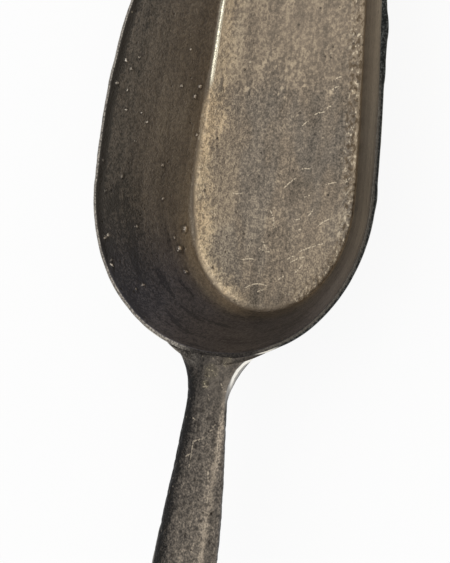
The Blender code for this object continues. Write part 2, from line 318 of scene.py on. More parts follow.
pan = {
    "wall": 0.0015,
    "halfFloor": 0.0275,
    "floorLength": 0.132,
    "backRound": 0.0345,
    "taper": 0.067,
    "ease": 0.018,
    "sideLean": math.radians(27.0),
    "backLean": math.radians(19.6),
    "corner": 0.0016,
    "softCorner": 0.0012,  # how much rounder the corner is worn away from the mouth
    "softStart": (0.01, -0.006),  # along the scoop: as pressed, fully worn
    "crispRight": 0.8,  # share of that wear missing on the right
    "rimHeight": 0.032,
    "rimFall": 0.125,
    "rimFallStart": 0.0197,
    "mouthAngle": math.radians(52.0),
    "mouthRound": 0.009,
    "lipBow": 0.004,
    "lipRound": 0.0012,  # length over which the lip thins to its worn edge
    "rimInner": (0.0005, 0.0004),  # worn inner edge: down the wall, across the sheet
    "rimOuter": (0.0006, 0.0005),
    "rimWobble": (0.0002, 0.00042),  # unevenness of the trimmed rim, left and right
    "rimWaves": ((0.007, 0.0, 1.0), (0.0025, 0.1, 0.6)),  # lengths of its waves, levels, shares
    "rimCalm": 0.01,  # it dies away over this at a low rim and at the handle
    "lowRim": 0.004,  # worn edges get thinner on a rim lower than this
    # lumps outside the right of the rim: place along, half-length, height
    "rimLumps": (
        (0.0148, 0.005, 0.0005), (0.012, 0.015, 0.0004), (0.002, 0.004, 0.0002),
        (-0.03, 0.004, 0.0003),
    ),
    "lumpReach": 0.004,  # how far down the wall a lump runs
    "sheetWobble": 0.00014,  # unevenness of the pressed sheet
    "sheetWaves": ((0.016, 1.0), (0.005, 0.35)),  # lengths of its waves, shares
    "restBand": 0.0002,  # height of the resting face, which wears inward only
    # marks, by the pixel where the photograph shows them
    # blisters on the walls: pixel, radius in mm, how bright its painted highlight is
    "blisters": (
        (126, 60, 0.9, 1), (131, 69, 0.8, 0.4), (139, 57, 0.7, 0.4), (117, 83, 1, 0.8),
        (127, 90, 0.9, 1), (191, 49, 0.6, 0.9), (182, 86, 0.9, 1), (200, 87, 1, 1),
        (195, 96, 1, 1), (126, 110, 0.7, 0.5), (141, 113, 0.6, 1), (147, 122, 0.7, 1),
        (197, 135, 0.8, 1), (135, 141, 0.6, 0.9), (163, 165, 0.9, 0.5), (122, 176, 0.9, 0.1),
        (106, 190, 0.9, 0.12), (163, 199, 0.7, 0.6), (136, 226, 1, 0.3), (185, 229, 1.4, 1),
        (174, 237, 0.8, 0.8), (105, 237, 1, 0.35), (108, 235, 0.7, 0.5), (180, 249, 1.4, 1),
        (111, 260, 1.1, 0.1), (112, 266, 1.2, 0.7), (186, 272, 1.2, 0.4), (143, 285, 0.9, 0.3),
        (136, 290, 0.8, 0.4), (103, 160, 0.7, 0.08),
    ),
    # floor rubbed to a lighter tan: pixel, radius in mm, strength, less than nothing where it is dulled
    "rubs": (
        (209, 142, 3.8, 1.5), (204, 112, 2.6, 0.9), (199, 183, 2.6, 0.6), (197, 212, 3.2, 0.6),
        (201, 245, 3.4, 0.7), (213, 272, 3.6, 0.7), (228, 290, 3.8, 0.9), (237, 297, 2.4, 0.6),
        (222, 222, 7, 0.35), (318, 288, 6, 0.4), (340, 222, 5, 0.35), (246, 60, 9, 0.15),
        (296, 66, 9, 0.7), (318, 64, 6, 0.5), (262, 222, 9, 0.6), (306, 16, 9, -1),
        (354, 212, 4.4, 1.3), (352, 190, 4, 1.1), (208, 122, 3, 0.6), (318, 160, 10, -0.9),
        (316, 212, 8, -1), (252, 299, 8, -1.5), (281, 298, 6, -1), (272, 64, 8, 0.8),
        (206, 286, 4, 0.6), (214, 52, 3, 0.5), (316, 122, 10, -0.7), (310, 236, 8, -0.8),
        (298, 188, 7, -0.7), (274, 244, 8, 0.4), (226, 160, 5, 0.5), (247, 88, 1.2, 4),
        (282, 89, 1.1, 3.5), (331, 91, 1.4, 3), (355, 92, 1.3, 4), (285, 98, 1, 3),
        (279, 94, 0.9, 2.5), (304, 86, 0.8, 3),
    ),
    # bright scratches on the floor: both ends, bulge as a share of the length
    "scratches": (
        (284, 188, 296, 178, 0.04), (302, 169, 310, 169, 0.06), (304, 197, 310, 195, -0.08),
        (325, 186, 337, 183, 0.1), (293, 221, 300, 219, 0.05), (307, 216, 313, 209, -0.12),
        (298, 230, 304, 229, 0.05), (299, 252, 326, 243, 0.03), (287, 260, 294, 256, 0.05),
        (290, 263, 305, 257, 0.06), (294, 273, 302, 265, -0.05), (278, 280, 284, 276, 0.03),
        (241, 260, 254, 259, 0.05), (244, 289, 267, 286, 0.14), (257, 292, 264, 290, 0.1),
        (263, 241, 267, 249, -0.06), (259, 248, 270, 252, -0.05), (211, 211, 216, 215, 0.03),
        (233, 193, 243, 193, -0.06), (330, 93, 339, 86, 0.12), (326, 109, 332, 106, 0.08),
        (335, 80, 342, 77, 0.15), (314, 115, 325, 112, 0.06), (302, 126, 309, 121, 0.05),
        (270, 210, 274, 228, 0.08), (318, 226, 330, 219, 0.06),
    ),
    "blisterSize": 0.85,
    "blisterHeight": 0.3,  # share of the radius
    "blisterRagged": 0.7,  # how far out of round
    "moatReach": 1.6,  # dark ring round a blister, in radii
    "moatDepth": 0.2,  # share of the blister's height
    "scratchWidth": (0.00025, 0.00008),  # off its middle line: nothing, full
    "scratchEnds": (1.05, 0.8),  # shares of its half-length: nothing, full
    "backStations": 90,  # in a quarter of the back
    "sideStations": 190,
    "floorRows": 30,
    "cornerRows": (11, 5),  # inside, outside
    "wallRows": (64, 16),
    "rimRows": 4,  # in each worn edge
    "wallSearch": 40,  # halvings that find a place on the back wall
    "layers": ("edgeWay", "rimWay", "alongWay", "outerSide", "scar", "moat", "shine"),
    # finish: ramps from dark to light, gains on a colour, colours
    "floorTones": ((0.1, (0.09, 0.076, 0.06)), (0.42, (0.195, 0.16, 0.122)),
                   (0.62, (0.272, 0.218, 0.162)), (1.0, (0.51, 0.412, 0.29))),
    "wallTones": ((0.0, (0.08, 0.072, 0.062)), (0.3, (0.225, 0.19, 0.152)),
                  (0.6, (0.4, 0.34, 0.262)), (0.96, (0.66, 0.57, 0.44))),
    "rimTones": ((0.0, (0.12, 0.11, 0.1)), (0.5, (0.3, 0.27, 0.235)), (1.0, (0.46, 0.42, 0.36))),
    "darkReflectionTones": ((0.3, (0.018, 0.019, 0.018)), (0.8, (0.05, 0.051, 0.048)), (1.0, (0.09, 0.091, 0.085))),
    "innerRimTones": ((0.0, (0.078, 0.07, 0.06)), (1.0, (0.135, 0.12, 0.1))),
    "gripRimTones": ((0.0, (0.02, 0.018, 0.017)), (1.0, (0.06, 0.053, 0.046))),
    "coolGain": (0.82, 0.92, 1.06),
    "creamGain": (1.58, 1.52, 1.38),
    "backGain": (0.73, 0.79, 1.02),
    "rightGain": (0.95, 0.99, 1.05),
    "rimShadeGain": (0.58, 0.57, 0.56),
    "softGrime": (0.122, 0.09, 0.058, 1.0),
    "grimeLeft": (0.215, 0.172, 0.125, 1.0),
    "grimeBack": (0.2, 0.16, 0.117, 1.0),
    "rightArcLight": (0.36, 0.285, 0.2, 1.0),
    "edgeDirt": (0.095, 0.066, 0.039, 1.0),
    "pitDirt": (0.05, 0.045, 0.04, 1.0),
    "crumb": (0.7, 0.59, 0.43, 1.0),
    "blisterGlint": (0.88, 0.81, 0.72, 1.0),
    "rubbedCorner": (0.92, 0.85, 0.66, 1.0),
    "gripRimHighlight": (0.8, 0.76, 0.67, 1.0),
    "bumpDepth": 0.00012,
}
pan["backCentre"] = pan["backRound"] - pan["floorLength"] / 2
pan["sideLength"] = pan["floorLength"] - pan["backRound"] - pan["lipBow"]


def easeIn(distance):
    return math.hypot(distance, pan["ease"]) - pan["ease"]


def rimRise(ahead):
    level = pan["rimHeight"] - pan["rimFall"] * easeIn(max(ahead - pan["rimFallStart"], 0.0))
    front = (pan["sideLength"] - ahead) * math.tan(pan["mouthAngle"])
    rise = (level + front - math.hypot(level - front, pan["mouthRound"])) / 2
    return max(rise, 0.0)


def makeStation(x, ahead, outward):
    out = Vector(outward).normalized()
    lean = pan["sideLean"] + (pan["backLean"] - pan["sideLean"]) * min(out.y, 0.0) ** 2
    turn = math.pi / 2 - lean
    start, full = pan["softStart"]
    soft = pan["softCorner"] * min(max((pan["backCentre"] + ahead - start) / (full - start), 0.0), 1.0)
    soft *= 1 - pan["crispRight"] * max(out.x, 0.0) ** 2
    corner = pan["corner"] + soft
    cornerRise = corner * (1 - math.cos(turn))
    rise = rimRise(ahead)
    if rise < cornerRise:
        climb = corner * math.acos(1 - rise / corner)
    else:
        climb = corner * turn + (rise - cornerRise) / math.cos(lean)
    wobble = 0.0
    for size, level, share in pan["rimWaves"]:
        wobble += share * noise.noise(Vector((x, ahead, level)) / size)
    calm = min(climb / pan["rimCalm"], 1.0) * min(abs(x) / pan["rimCalm"], 1.0)
    climb += pan["rimWobble"][x > 0] * wobble * calm
    lump = 0.0
    for along, reach, height in pan["rimLumps"] if x > 0 else ():
        off = (pan["backCentre"] + ahead - along) / reach
        lump += height * max(1 - off ** 2, 0.0) ** 2
    return SimpleNamespace(x=x, ahead=ahead, out=out, lean=lean, turn=turn, climb=climb, lump=lump,
                           corner=corner, shift=soft * turn / 2)


def backStation(angle):
    across, along = math.sin(angle), -math.cos(angle)
    outward = (across / pan["halfFloor"], along / pan["backRound"])
    return makeStation(pan["halfFloor"] * across, pan["backRound"] * along, outward)


def sideStation(ahead):
    outward = (1.0, pan["taper"] * ahead / math.hypot(ahead, pan["ease"]))
    return makeStation(pan["halfFloor"] - pan["taper"] * easeIn(ahead), ahead, outward)


def panStations():
    right = [backStation(math.pi / 2 * step / pan["backStations"]) for step in range(pan["backStations"])]
    for step in range(pan["sideStations"] + 1):
        right.append(sideStation(pan["sideLength"] * step / pan["sideStations"]))
    left = []
    for station in reversed(right[1:]):
        left.append(makeStation(-station.x, station.ahead, (-station.out.x, station.out.y)))
    stations = left + right
    along = 0.0
    for before, station in zip(stations, stations[1:]):
        along += math.hypot(station.x - before.x, station.ahead - before.ahead)
        station.along = along
    stations[0].along = 0.0
    for station in stations:
        station.along -= along / 2
    return stations


def sectionPoint(station, climb, through):
    # climb runs up the inside from the floor's edge, through goes from the inside to the outside
    corner, lean = station.corner, station.lean
    angle = min(climb / corner, station.turn)
    straight = climb - angle * corner
    reach = corner * (math.sin(angle) - math.tan(station.turn / 2)) + straight * math.sin(lean)
    rise = corner * (1 - math.cos(angle)) + straight * math.cos(lean)
    reach += through * math.sin(angle)
    rise -= through * math.cos(angle)
    x = station.x + reach * station.out.x
    y = pan["backCentre"] + station.ahead + reach * station.out.y
    return Vector((x, y, pan["wall"] + rise))


def panRows():
    # each row: part of the section, share of the way along that part, inside 0 or outside 1
    rows = []
    for outside in (0, 1):
        half = [("floor", step / pan["floorRows"], outside) for step in range(pan["floorRows"])]
        for part, count in (("corner", pan["cornerRows"][outside]), ("wall", pan["wallRows"][outside])):
            half += [(part, step / count, outside) for step in range(count)]
        half += [("edge", step / pan["rimRows"], outside) for step in range(pan["rimRows"] + 1)]
        rows += reversed(half) if outside else half
    return rows


def panPlace(station, part, share, outside):
    # place of a grid point, how far it is past the floor's edge and how far below the rim
    wall, top = pan["wall"], station.climb
    drop, wide = pan["rimOuter" if outside else "rimInner"]
    drop *= min(top / pan["lowRim"], 1.0)
    cornerEnd = min(station.corner * station.turn, top / 2)
    climb, inward = 0.0, 0.0
    if part == "corner":
        climb = cornerEnd * share
    elif part == "wall":
        climb = cornerEnd + (top - drop - cornerEnd) * share
    elif part == "edge":
        quarter = math.pi / 2 * share
        climb = top - drop * (1 - math.sin(quarter))
        inward = wide * (1 - math.cos(quarter))
    through = wall - inward if outside else inward
    fromLip = min((pan["sideLength"] - station.ahead) / pan["lipRound"], 1.0)
    through = wall / 2 + (through - wall / 2) * math.sqrt(1 - (1 - fromLip) ** 2)
    if outside:
        through += station.lump * max(1 - (top - climb) / pan["lumpReach"], 0.0) ** 2
    place = sectionPoint(station, climb, through)
    if part != "floor":
        return place, climb - station.shift, top - climb
    ahead = max(station.ahead, 0.0)
    middle = Vector((0.0, pan["backCentre"] + ahead, place.z))
    toEdge = (place - middle).length * (1 - share)
    place = middle.lerp(place, share)
    place.y += pan["lipBow"] * (ahead / pan["sideLength"]) ** 2 * (1 - share ** 2)
    return place, -toEdge - station.shift, top + toEdge


def closeMesh(bm):
    bmesh.ops.remove_doubles(bm, verts=bm.verts, dist=mergeGap)
    bmesh.ops.holes_fill(bm, edges=[edge for edge in bm.edges if edge.is_boundary], sides=0)
    bmesh.ops.recalc_face_normals(bm, faces=bm.faces)


def gridStep(place, steps):
    # number of a grid line that runs from -1 to 1
    return round((place + 1) / 2 * steps)


def waves(place, sizes):
    return sum(share * noise.noise(place / size) for size, share in sizes)


def vertTree(bm):
    near = KDTree(len(bm.verts))
    bm.verts.ensure_lookup_table()
    for vert in bm.verts:
        near.insert(vert.co, vert.index)
    near.balance()
    return near


def buildPan():
    stations = panStations()
    rows = panRows()
    bm = bmesh.new()
    bmesh.ops.create_grid(bm, x_segments=len(stations) - 1, y_segments=len(rows) - 1, size=1.0)
    layers = {name: bm.verts.layers.float.new(name) for name in pan["layers"]}
    for vert in bm.verts:
        station = stations[gridStep(vert.co.x, len(stations) - 1)]
        row = rows[gridStep(vert.co.y, len(rows) - 1)]
        vert.co, vert[layers["edgeWay"]], vert[layers["rimWay"]] = panPlace(station, *row)
        vert[layers["alongWay"]] = station.along
        vert[layers["outerSide"]] = row[2]
    closeMesh(bm)
    unevenSheet(bm)
    raiseBlisters(bm, layers)
    return bm


def unevenSheet(bm):
    bm.normal_update()
    for vert in bm.verts:
        push = waves(vert.co, pan["sheetWaves"])
        if vert.co.z < pan["restBand"]:
            push = -abs(push)
        vert.co += vert.normal * push * pan["sheetWobble"]
    bm.normal_update()


def raiseBlisters(bm, layers):
    surface = BVHTree.FromBMesh(bm)
    near = vertTree(bm)
    for px, py, radius, shine in pan["blisters"]:
        spot = seenSpot(surface, px, py)
        reach = radius * pan["blisterSize"] / perMetre
        for place, index, distance in near.find_range(spot, reach * pan["moatReach"]):
            vert = bm.verts[index]
            away = distance / reach * (1 + pan["blisterRagged"] * noise.noise(place / reach))
            swell = max(1 - away ** 2, 0.0) ** 2
            moat = max(1 - abs(away - 1.0) / (pan["moatReach"] - 1.0), 0.0)
            vert.co += vert.normal * (swell - pan["moatDepth"] * moat) * reach * pan["blisterHeight"]
            vert[layers["scar"]] = max(vert[layers["scar"]], swell)
            vert[layers["moat"]] = max(vert[layers["moat"]], moat)
            vert[layers["shine"]] = max(vert[layers["shine"]], shine)
    bm.normal_update()


def floorSpot(px, py):
    way = pixelRay(px, py)
    return shot["stand"] + way * ((pan["wall"] - shot["stand"].z) / way.z)


def scratchLines(vector):
    flat = moved(vector, (1, 1, 0))
    lines = 0.0
    for x0, y0, x1, y1, bulge in pan["scratches"]:
        start, end = floorSpot(x0, y0), floorSpot(x1, y1)
        start.z = end.z = 0.0
        chord = end - start
        rise = chord.length * bulge
        side = Vector((-chord.y, chord.x, 0.0)).normalized()
        radius = (chord.length_squared / 4 + rise ** 2) / (2 * rise)
        centre = (start + end) / 2 + side * (rise - radius)
        middle = side * math.copysign(1.0, radius)
        halfTurn = math.asin(min(chord.length / 2 / abs(radius), 1.0))
        arm = vectorCalc("SUBTRACT", flat, centre)
        off = calc("ABSOLUTE", calc("SUBTRACT", vectorCalc("LENGTH", arm), abs(radius)))
        ahead = vectorCalc("DOT_PRODUCT", vectorCalc("NORMALIZE", arm), middle)
        nothing, full = (math.cos(halfTurn * share) for share in pan["scratchEnds"])
        lines = most(lines, both((off, *pan["scratchWidth"]), (ahead, nothing, full)))
    return lines


def rubbedPatches(vector):
    flat = moved(vector, (1, 1, 0))
    total = 0.0
    for px, py, radius, strength in pan["rubs"]:
        centre = floorSpot(px, py)
        centre.z = 0.0
        away = vectorCalc("DISTANCE", flat, centre)
        total = calc("MULTIPLY_ADD", fade(away, radius / perMetre, 0.0), strength, total)
    return total


def panMetal(spot):
    # what several parts of the finish share
    metal = SimpleNamespace(spot=spot)
    place = put("SeparateXYZ", {"Vector": spot})
    x, y = place.outputs["X"], place.outputs["Y"]
    metal.x, metal.y = x, y
    for name in pan["layers"]:
        setattr(metal, name, attribute(name))
    metal.inner = calc("SUBTRACT", 1.0, metal.outerSide)

    # grain of the old metal, from fine to coarse, drawn out along the scoop
    metal.fine = fade(grain(spot, 0.00052, 1.0, (1, 0.85, 1)), 0.3, 0.7)
    metal.fleck = fade(grain(spot, 0.0011, 2.0, (1, 0.75, 1), 0.013), 0.34, 0.66)
    metal.patch = fade(grain(spot, 0.0065, 3.0, (1, 0.4, 1), 0.031), 0.36, 0.64)
    metal.blotch = grain(spot, 0.022, 2.0, (1, 0.7, 1))

    # way to the floor's edge, which lies further out in places
    backLeft = both((x, 0.006, -0.006), (y, -0.04, -0.052))
    midLeft = both((x, -0.01, -0.018), band(y, -0.036, -0.022, -0.003, 0.006))
    backRight = both((x, 0.008, 0.018), (y, -0.016, -0.03))
    metal.floorWay = addUp(metal.edgeWay, (backLeft, -0.0012), (midLeft, -0.0014), (backRight, -0.0012))
    metal.ragged = addUp(metal.floorWay, (metal.fleck, 0.0018), (metal.patch, 0.0024))
    metal.onFloor = fade(metal.floorWay, 0.0012, 0.0004)
    return metal


def floorLook(metal):
    # painted reflection: brighter toward the mouth; lighter low on the left; cream along its left edge,
    # partly wear and partly painted highlight beside the corner's bright line
    spot, x, y = metal.spot, metal.x, metal.y
    fine, fleck, patch = metal.fine, metal.fleck, metal.patch
    streak = grain(spot, 0.004, 2.0, (1, 0.05, 1), 0.017)
    worm = both(worms(spot, 0.0042, 0.03, shift=0.21), fleck)
    # painted reflection: the floor lighter toward the mouth
    front = fade(addUp(y, (patch, 0.003), (fleck, 0.002)), 0.003, 0.01)
    cream = band(y, -0.017, -0.01, -0.003, 0.004)
    # cream along the left edge: partly wear, partly painted highlight
    leftEdge = fade(addUp(metal.ragged, (cream, 0.0026)), -0.0052, 0.0002)
    leftEdge = both(leftEdge, (x, 0.006, -0.014), (y, 0.01, 0.001, 0.55, 1.0), metal.onFloor)
    lowLeft = both((x, -0.002, -0.018), (y, 0.006, -0.01))
    upRight = both((x, 0.006, 0.015), (y, -0.034, -0.024))
    lowRight = both((x, 0.008, 0.02), (y, -0.026, -0.038))
    lowFloor = fade(y, -0.02, -0.036)
    broken = fade(addUp(0.0, (patch, 0.6), (fleck, 0.4)), 0.15, 0.75)
    rub = both(rubbedPatches(spot), broken)
    worn = addUp(-0.36, (metal.blotch, 0.34), (patch, 0.1), (streak, 0.72), (fine, 0.3), (fleck, 0.28),
                 (worm, 0.12), (front, 0.2), (leftEdge, 0.06), (lowLeft, 0.14), (upRight, -0.07),
                 (lowRight, 0.05), (rub, 0.24), (lowFloor, 0.08), (both(front, fine), -0.14))
    colour = ramp(worn, *pan["floorTones"])
    cool = fade(grain(spot, 0.011, 2.0, (1, 0.35, 1), 0.61), 0.48, 0.66)
    colour = toned(both(cool, addUp(0.36, (front, -0.24))), colour, pan["coolGain"])
    metal.leftEdge = leftEdge
    return toned(leftEdge, colour, pan["creamGain"])


def wallLook(metal):
    # streaked round the outline, darker up to the rim on the left and toward the back, with painted shade in
    # a band just under the rim on the left
    x, y, edgeWay, rimWay, inner = metal.x, metal.y, metal.edgeWay, metal.rimWay, metal.inner
    around = put("CombineXYZ", {"X": metal.alongWay, "Y": edgeWay, "Z": metal.outerSide}).outputs[0]
    fromBack = calc("ABSOLUTE", metal.alongWay)
    blotch = grain(around, 0.011, 3.0, (0.5, 1, 1))
    streak = grain(around, 0.0022, 2.0, (0.05, 1, 1), 0.3)
    ripple = fade(grain(around, 0.0036, 2.0, (0.28, 1, 1), 0.8), 0.55, 0.63)
    atBack = fade(fromBack, 0.078, 0.03)
    onLeft = both((x, -0.016, -0.028), inner)
    onRight = fade(x, 0.02, 0.034)
    # painted shade in a band just under the rim on the left
    underRimShade = both((rimWay, 0.0034, 0.0022), (x, -0.004, -0.016), inner, (y, -0.062, -0.05))
    highLeft = both((rimWay, 0.022, 0.001), onLeft)
    footLeft = both((edgeWay, 0.024, 0.001), onLeft, (y, 0.014, -0.014))
    lowLeft = both((y, -0.004, -0.026), onLeft)
    backFoot = both((edgeWay, 0.015, 0.001), (x, 0.0, -0.012), (y, -0.034, -0.048))
    foot = both((edgeWay, 0.008, 0.0006), band(x, -0.034, -0.02, 0.03, 0.04), (y, -0.02, -0.036))
    rightFoot = both((edgeWay, 0.006, 0.0008), (x, 0.014, 0.022), (y, -0.016, -0.026))
    stripe = both(band(edgeWay, 0.018, 0.025, 0.031, 0.035), onRight)
    lowRight = both((edgeWay, 0.018, 0.002), onRight)
    upRight = both((y, -0.03, -0.008), onRight)
    rightBand = both(grain(around, 0.007, 2.0, (0.03, 1, 1), 0.55), onRight)
    dull = addUp(-0.085, (blotch, 0.28), (streak, 0.45), (metal.fine, 0.22), (metal.fleck, 0.22),
                 (atBack, -0.27), (underRimShade, -0.3), (metal.outerSide, 0.1), (foot, 0.34), (rightFoot, 0.22),
                 (onRight, -0.1), (highLeft, -0.34), (footLeft, 0.28), (lowLeft, 0.06), (backFoot, 0.2),
                 (stripe, 0.34), (lowRight, -0.44), (upRight, 0.1), (rightBand, 0.34),
                 (both(ripple, atBack), -0.25), (both(onRight, streak), 0.35))
    colour = ramp(both(dull, 0.6), *pan["wallTones"])
    backGrey = both((fromBack, 0.048, 0.02), (edgeWay, 0.004, 0.012))
    colour = toned(backGrey, colour, pan["backGain"])
    colour = toned(onRight, colour, pan["rightGain"])
    return toned(both(underRimShade, (rimWay, 0.0032, 0.0007)), colour, pan["rimShadeGain"])


def cornerLook(metal, floorColour, wallColour):
    # grime between floor and wall, softer at the back and on the right, where the band is painted lighter to
    # stand in for light that the arc mirrors dark
    softSide = fade(metal.x, -0.012, 0.004)
    rightArc = fade(metal.x, 0.01, 0.022)
    softGrime = both((metal.ragged, -0.0012, 0.0034), (metal.fleck, 0, 1, 0.65, 0.25), softSide)
    floorColour = tint(softGrime, floorColour, pan["softGrime"])
    grimeAndArcLight = tint(softSide, pan["grimeLeft"], pan["grimeBack"])
    # painted light: a lighter band on the right arc
    grimeAndArcLight = tint(rightArc, grimeAndArcLight, pan["rightArcLight"])
    edge = addUp(metal.floorWay, (metal.fine, 0.0003), (metal.fleck, 0.0004), (metal.patch, 0.0007))
    floorColour = tint(fade(edge, -0.0002, 0.0014), floorColour, grimeAndArcLight)
    metal.onWall = fade(addUp(edge, (rightArc, -0.001)), 0.0008, 0.003)
    return tint(metal.onWall, floorColour, wallColour)


def markPan(metal, colour):
    # dirt and crumbs along the floor's right edge, pits, specks, scratches, blisters
    spot, fine = metal.spot, metal.fine
    rough = grain(spot, 0.0012, 2.0, (1, 0.65, 1), 0.77)
    nearEdge = both((metal.floorWay, -0.0052, -0.002), (metal.x, 0.004, 0.016), metal.onFloor)
    colour = tint(both((rough, 0.5, 0.36), nearEdge, 0.75), colour, pan["edgeDirt"])
    metal.pits = spots(spot, 0.003, 0.45, 0.2, 0.9)
    # darker in the pits, and painted shade in the ring round each blister
    colour = tint(most(both(metal.pits, 0.55), both(metal.moat, 0.6)), colour, pan["pitDirt"])
    specks = both(spots(spot, 0.0034, 0.16, 0.15, 0.4), (metal.onWall, 0, 1, 0.55, 0.2))
    crumbs = most(spots(spot, 0.0026, 0.5, 0.26, 0.7, (1, 0.6, 1), 1.1), fade(rough, 0.57, 0.7))
    crumbs = both(crumbs, most(nearEdge, both(metal.leftEdge, 0.5)), 0.8)
    # painted highlight on the top of each blister, as strong as its shine
    blisterGlint = both((addUp(metal.scar, (fine, 0.5)), 0.62, 0.98), metal.shine)
    metal.raised = most(specks, crumbs, blisterGlint)
    scratch = both(scratchLines(spot), (fine, 0.05, 0.5), metal.inner)
    metal.bright = most(metal.raised, both(scratch, 0.8))
    colour = tint(metal.bright, colour, pan["crumb"])
    colour = tint(blisterGlint, colour, pan["blisterGlint"])

    # corner on the left near the mouth: polished smoother, with a painted highlight along it
    strip = addUp(metal.edgeWay, (fade(metal.y, 0.008, 0.03), -0.0003))
    rubbed = both(band(strip, -0.001, -0.0002, 0.0003, 0.001), (metal.x, -0.01, -0.016))
    metal.rubbed = both(rubbed, (metal.y, 0.002, 0.008), metal.inner)
    return tint(metal.rubbed, colour, pan["rubbedCorner"])


def rimLook(metal, colour):
    # pale on the left; painted dark reflection on the right; dark at the handle; a painted highlight line
    # beside the handle
    x, y, fine = metal.x, metal.y, metal.fine
    rimFace = fade(metal.rimWay, 0.00035, 0.0001)
    innerHalf = both((metal.outerSide, 0.75, 0.35), (y, 0.006, -0.008))
    # painted dark reflection on the right of the rim, with a dark brown inner half at the back
    black = tint(innerHalf, ramp(fine, *pan["darkReflectionTones"]), ramp(fine, *pan["innerRimTones"]))
    tone = tint(fade(x, 0.006, 0.02), ramp(fine, *pan["rimTones"]), black)
    nearGrip = both(band(x, -0.012, -0.004, 0.014, 0.02), (y, -0.05, -0.06))
    tone = tint(nearGrip, tone, ramp(fine, *pan["gripRimTones"]))
    # painted highlight along the rim's outer edge beside the handle
    besideGrip = both(band(calc("ABSOLUTE", x), 0.0142, 0.0172, 0.019, 0.0225), (y, -0.066, -0.071))
    outerEdge = both((metal.outerSide, 0.85, 1.0), rimFace)
    return tint(both(besideGrip, outerEdge), tint(rimFace, colour, tone), pan["gripRimHighlight"])


def agedPan():
    material, shader, spot = newMetal("agedPan")
    metal = panMetal(spot)
    colour = cornerLook(metal, floorLook(metal), wallLook(metal))
    colour = rimLook(metal, markPan(metal, colour))
    roughness = addUp(0.52, (metal.fine, -0.05), (metal.blotch, -0.1), (metal.bright, -0.1),
                      (metal.rubbed, -0.25))
    height = addUp(0.0, (metal.fine, 0.22), (metal.fleck, 0.2), (metal.pits, -0.7), (metal.raised, 0.35))
    finishMetal(shader, colour, roughness, height, pan["bumpDepth"])
    return material


def addPiece(name, bm, material, node):
    openEdges = sum(1 for edge in bm.edges if len(edge.link_faces) != 2)
    print(name, "built:", len(bm.verts), "verts,", len(bm.faces), "faces, open edges", openEdges)
    piece = addMesh(name, bm)
    piece.data.materials.append(material)
    piece.data.shade_smooth()
    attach(piece, "root")
    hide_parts(node)


addPiece("scoopPan", buildPan(), agedPan(), "bowl")

# Grip: a grid wrapped round the handle, from its seat on the wall to the rounded end

grip = {
    "length": 0.107,
    "sweep": 0.41,
    "neckBack": 0.0125,
    "neckWidth": 0.0123,
    "neckThick": 0.0066,
    "reach": 0.062,
    "width": 0.0208,
    "thick": 0.0082,
    "endRound": 0.0115,
    "swellPower": 1.25,
    "sectionPower": 2.5,
    "footWidth": 0.04,
    "footDepth": 0.0105,
    "footFlange": 0.0045,
    "footEdge": 0.0019,
    "footTipEdge": 0.0002,
    "flangePower": 1.5,
    "tonguePower": 1.6,
    "brace": 0.8,
    "seat": 0.0009,  # how deep in the wall the seat lies, so that no seam shows
    "topDrop": 0.0002,  # below the rim
    "ringPoints": 150,
    "seatRings": 4,
    "flareRings": 44,
    "gripRings": 260,
    "endRings": 30,
    "wobble": 0.00016,  # unevenness of the casting
    "waves": ((0.012, 1.0), (0.004, 0.5), (0.0015, 0.3)),  # lengths of its waves, shares
    "pits": 900,
    "pitSeed": 7,
    "pitStart": 0.004,  # behind the rim
    "pitRadius": (0.0004, 0.001),
    "pitDepth": 0.00017,
    "pitShare": (0.3, 1.0),  # of that depth
    # nicks: pixel, radius and depth in mm
    "nicks": (
        (213, 512, 0.5, 0.2), (211, 514, 0.7, 0.35), (209, 516, 0.5, 0.25), (166, 526, 0.6, 0.2),
        (193, 459, 0.6, 0.15),
    ),
    # scrapes that shine: both ends, in pixels
    "scrapes": (
        (221, 384, 226, 392), (208, 395, 209, 401), (203, 387, 206, 386), (193, 418, 195, 420),
        (193, 442, 189, 467), (194, 441, 205, 438), (219, 428, 217, 452), (208, 472, 208, 480),
        (209, 490, 207, 504), (186, 456, 190, 454), (213, 427, 215, 425), (210, 431, 212, 430),
        (206, 519, 205, 530),
    ),
    "scrapeWidth": (0.00026, 0.00008),  # off its middle line: nothing, full
    # painted highlight along the edge of the flare: pixels along it
    "gleam": (
        (274, 350), (266, 353.5), (259, 356.5), (251.5, 360), (244, 363.5), (237.5, 370), (233.5, 377),
        (231, 385), (230, 391),
    ),
    "gleamReach": 1.0,  # half its width, in mm
    "gleamFade": 0.3,  # share of its length over which it dies away at the neck
    "gleamSteps": 8,
    # filler that ran over the neck: pixel, reach in mm
    "runs": ((211, 371, 3.0), (227, 362, 2.0), (205, 384, 1.6)),
    "runCore": 0.4,  # share of the reach that is full
    "layers": ("across", "upper", "dirt", "gleam"),
    # finish
    "tones": ((0.0, (0.024, 0.023, 0.022)), (0.4, (0.115, 0.1, 0.085)),
              (0.7, (0.225, 0.192, 0.155)), (1.0, (0.48, 0.4, 0.31))),
    "pitDirt": (0.034, 0.029, 0.024, 1.0),
    "speckTone": (0.6, 0.51, 0.39, 1.0),
    "leftFlareLightTone": (0.36, 0.325, 0.28, 1.0),
    "leftTipLightTone": (0.34, 0.31, 0.27, 1.0),
    "flareEdgeHighlightTone": (0.4, 0.385, 0.36, 1.0),
    "gleamTone": (0.98, 0.95, 0.88, 1.0),
    "runDirt": (0.115, 0.098, 0.062, 1.0),
    "runBrass": (0.46, 0.4, 0.28, 1.0),
    "bumpDepth": 0.00018,
}
grip["top"] = pan["wall"] + pan["rimHeight"] - grip["topDrop"]


